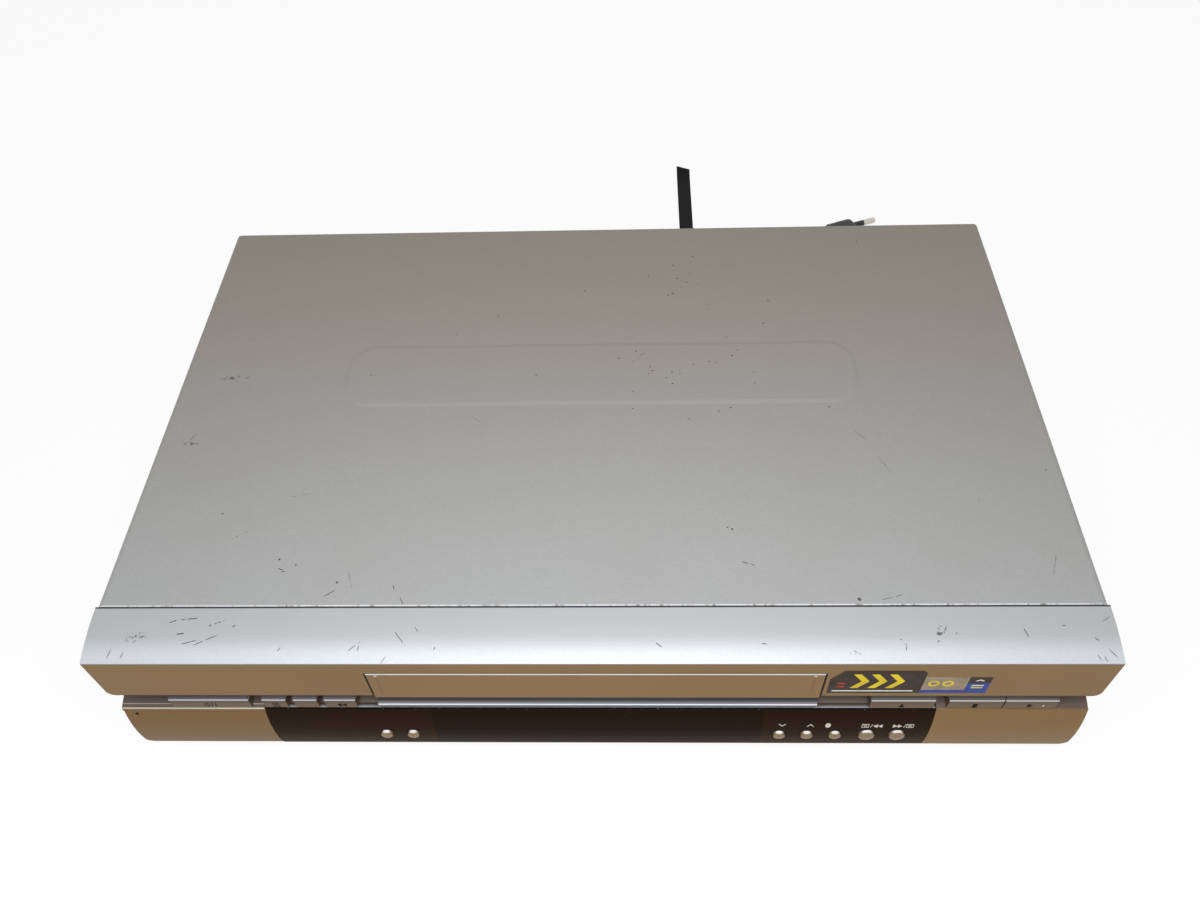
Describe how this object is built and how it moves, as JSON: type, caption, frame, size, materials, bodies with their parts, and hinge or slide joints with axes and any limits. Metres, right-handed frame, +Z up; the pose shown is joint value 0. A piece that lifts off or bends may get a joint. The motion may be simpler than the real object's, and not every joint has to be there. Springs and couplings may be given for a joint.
{
  "type": "video cassette recorder",
  "caption": "Front-loading video cassette recorder with cassette flap, smoked display window, push buttons, socket door, rear sockets, tape deck and coiled mains lead.",
  "frame": {"origin": "on the surface it stands on, under the middle of the case", "axes": "+X to the right seen from the front, +Y to the rear, +Z up"},
  "size_m": [0.4328, 0.4577, 0.0884],
  "materials": {
    "cover_paint": "warm silver paint, satin, scuffed",
    "front_lacquer": "champagne lacquer, satin",
    "bar_lacquer": "champagne lacquer, satin",
    "round_lacquer": "silver lacquer, satin",
    "smoked_window": "smoked acrylic, gloss",
    "black_plastic": "moulded, fine grain",
    "socket_plastic": "moulded",
    "white_plastic": "moulded acetal",
    "zinc_steel": "zinc plated",
    "core_steel": "laminated",
    "screw_steel": "black zinc",
    "spring_steel": "polished",
    "rear_paint": "dark grey paint",
    "foot_rubber": "moulded",
    "roller_rubber": "ground",
    "socket_metal": "nickel plated",
    "pin_metal": "nickel plated brass",
    "gear_brass": "turned",
    "drum_aluminium": "turned",
    "board_green": "epoxy board",
    "board_brown": "phenolic board",
    "display_glass": "display tube",
    "lead_sheath": "soft sheath",
    "tie_strap": "woven strap"
  },
  "bodies": {
    "case": {"top_cover": "cover_paint", "base_frame": "black_plastic", "bottom_plate": "zinc_steel", "feet": "foot_rubber", "rear_panel": "rear_paint", "front_bezel": "front_lacquer", "display_window": "smoked_window", "screws": "screw_steel", "door_spring": "spring_steel", "front_jacks": "socket_metal", "jack_holder": "black_plastic", "front_board": "board_green", "tact_switches": "black_plastic", "display_tube": "display_glass", "scart_sockets": "socket_plastic", "tuner_box": "zinc_steel", "aerial_sockets": "socket_metal", "audio_sockets": "socket_metal", "strain_relief": "lead_sheath", "mains_lead": "lead_sheath", "cord_coil": "lead_sheath", "mains_plug": "lead_sheath", "plug_pins": "pin_metal", "cord_tie": "tie_strap", "circuit_boards": "board_brown", "board_parts": "black_plastic", "power_transformer": "core_steel", "deck_plate": "zinc_steel", "carriage_frame": "zinc_steel", "loading_motor": "core_steel", "lower_drum": "drum_aluminium", "tape_heads": "drum_aluminium"},
    "power_button": {"power_button": "bar_lacquer"},
    "timer_button": {"timer_button": "bar_lacquer"},
    "search_button": {"search_button": "bar_lacquer"},
    "rewind_bar": {"rewind_bar": "bar_lacquer"},
    "eject_button": {"eject_button": "bar_lacquer"},
    "stop_button": {"stop_button": "bar_lacquer"},
    "play_button": {"play_button": "bar_lacquer"},
    "tape_button": {"tape_button": "round_lacquer"},
    "picture_button": {"picture_button": "round_lacquer"},
    "channel_down_button": {"channel_down_button": "round_lacquer"},
    "channel_up_button": {"channel_up_button": "round_lacquer"},
    "record_button": {"record_button": "round_lacquer"},
    "rewind_button": {"rewind_button": "round_lacquer"},
    "forward_button": {"forward_button": "round_lacquer"},
    "cassette_door": {"cassette_door": "front_lacquer"},
    "av_door": {"av_door": "front_lacquer"},
    "carriage_slider": {"carriage_slider": "white_plastic"},
    "cassette_holder": {"cassette_holder": "zinc_steel"},
    "carriage_gear": {"carriage_gear": "white_plastic"},
    "motor_pinion": {"motor_pinion": "gear_brass"},
    "upper_drum": {"upper_drum": "drum_aluminium"},
    "capstan": {"capstan": "spring_steel"},
    "pinch_arm": {"pinch_arm": "zinc_steel"},
    "pinch_roller": {"pinch_roller": "roller_rubber"},
    "supply_reel": {"supply_reel": "white_plastic"},
    "takeup_reel": {"takeup_reel": "white_plastic"},
    "left_guide": {"left_guide": "zinc_steel"},
    "right_guide": {"right_guide": "zinc_steel"}
  },
  "joints": [
    {"name": "cassette_door_swing", "type": "hinge", "parent": "case", "child": "cassette_door", "pos_m": [0, -0.1348, 0.0732], "axis": [1, 0, 0], "range_deg": [0, 85], "stiffness_Nm_per_rad": 0.01},
    {"name": "av_door_swing", "type": "hinge", "parent": "case", "child": "av_door", "pos_m": [-0.183, -0.13762, 0.01124], "axis": [1, 0, 0], "range_deg": [0, 90]},
    {"name": "power_button_press", "type": "slide", "parent": "case", "child": "power_button", "axis": [0, 1, 0], "range_m": [0, 0.001], "stiffness_N_per_m": 1500},
    {"name": "timer_button_press", "type": "slide", "parent": "case", "child": "timer_button", "axis": [0, 1, 0], "range_m": [0, 0.001], "stiffness_N_per_m": 1500},
    {"name": "search_button_press", "type": "slide", "parent": "case", "child": "search_button", "axis": [0, 1, 0], "range_m": [0, 0.001], "stiffness_N_per_m": 1500},
    {"name": "rewind_bar_press", "type": "slide", "parent": "case", "child": "rewind_bar", "axis": [0, 1, 0], "range_m": [0, 0.001], "stiffness_N_per_m": 1500},
    {"name": "eject_button_press", "type": "slide", "parent": "case", "child": "eject_button", "axis": [0, 1, 0], "range_m": [0, 0.001], "stiffness_N_per_m": 1500},
    {"name": "stop_button_press", "type": "slide", "parent": "case", "child": "stop_button", "axis": [0, 1, 0], "range_m": [0, 0.001], "stiffness_N_per_m": 1500},
    {"name": "play_button_press", "type": "slide", "parent": "case", "child": "play_button", "axis": [0, 1, 0], "range_m": [0, 0.001], "stiffness_N_per_m": 1500},
    {"name": "tape_button_press", "type": "slide", "parent": "case", "child": "tape_button", "axis": [0, 0.9981, -0.0618], "range_m": [0, 0.001], "stiffness_N_per_m": 1500},
    {"name": "picture_button_press", "type": "slide", "parent": "case", "child": "picture_button", "axis": [0, 0.9981, -0.0618], "range_m": [0, 0.001], "stiffness_N_per_m": 1500},
    {"name": "channel_down_button_press", "type": "slide", "parent": "case", "child": "channel_down_button", "axis": [0, 0.9981, -0.0618], "range_m": [0, 0.001], "stiffness_N_per_m": 1500},
    {"name": "channel_up_button_press", "type": "slide", "parent": "case", "child": "channel_up_button", "axis": [0, 0.9981, -0.0618], "range_m": [0, 0.001], "stiffness_N_per_m": 1500},
    {"name": "record_button_press", "type": "slide", "parent": "case", "child": "record_button", "axis": [0, 0.9981, -0.0618], "range_m": [0, 0.001], "stiffness_N_per_m": 1500},
    {"name": "rewind_button_press", "type": "slide", "parent": "case", "child": "rewind_button", "axis": [0, 0.9981, -0.0618], "range_m": [0, 0.001], "stiffness_N_per_m": 1500},
    {"name": "forward_button_press", "type": "slide", "parent": "case", "child": "forward_button", "axis": [0, 0.9981, -0.0618], "range_m": [0, 0.001], "stiffness_N_per_m": 1500},
    {"name": "carriage_in", "type": "slide", "parent": "case", "child": "carriage_slider", "axis": [0, 1, 0], "range_m": [0, 0.076]},
    {"name": "carriage_down", "type": "slide", "parent": "carriage_slider", "child": "cassette_holder", "axis": [0, 0, -1], "range_m": [0, 0.0235]},
    {"name": "carriage_gear_turn", "type": "hinge", "parent": "case", "child": "carriage_gear", "pos_m": [0.0995, -0.025, 0.0262], "axis": [-1, 0, 0], "range_deg": [0, 726]},
    {"name": "motor_turn", "type": "hinge", "parent": "case", "child": "motor_pinion", "pos_m": [0.1045, -0.025, 0.0412], "axis": [1, 0, 0], "range_deg": [0, 1452]},
    {"name": "drum_spin", "type": "hinge", "parent": "case", "child": "upper_drum", "pos_m": [0, 0.052, 0.0192], "axis": [0, 0.1045, 0.9945], "continuous": true},
    {"name": "capstan_spin", "type": "hinge", "parent": "case", "child": "capstan", "pos_m": [0.058, 0.034, 0.03], "axis": [0, 0, 1], "continuous": true},
    {"name": "pinch_arm_swing", "type": "hinge", "parent": "case", "child": "pinch_arm", "pos_m": [0.082, 0.026, 0.022], "axis": [0, 0, 1], "range_deg": [0, 28], "stiffness_Nm_per_rad": 0.02},
    {"name": "pinch_roller_spin", "type": "hinge", "parent": "pinch_arm", "child": "pinch_roller", "pos_m": [0.07336, 0.04404, 0.032], "axis": [0, 0, 1], "continuous": true},
    {"name": "supply_reel_spin", "type": "hinge", "parent": "case", "child": "supply_reel", "pos_m": [-0.046, -0.047, 0.025], "axis": [0, 0, 1], "continuous": true},
    {"name": "takeup_reel_spin", "type": "hinge", "parent": "case", "child": "takeup_reel", "pos_m": [0.046, -0.047, 0.025], "axis": [0, 0, 1], "continuous": true},
    {"name": "right_guide_travel", "type": "slide", "parent": "case", "child": "right_guide", "axis": [0, 1, 0], "range_m": [0, 0.05]},
    {"name": "left_guide_travel", "type": "slide", "parent": "case", "child": "left_guide", "axis": [0, 1, 0], "range_m": [0, 0.05]}
  ],
  "couplings": [
    {"joint": "carriage_gear_turn", "follows": "carriage_in", "rad_per_m": 166.67},
    {"joint": "motor_turn", "follows": "carriage_in", "rad_per_m": 333.33},
    {"joint": "left_guide_travel", "follows": "right_guide_travel", "ratio": 1}
  ]
}
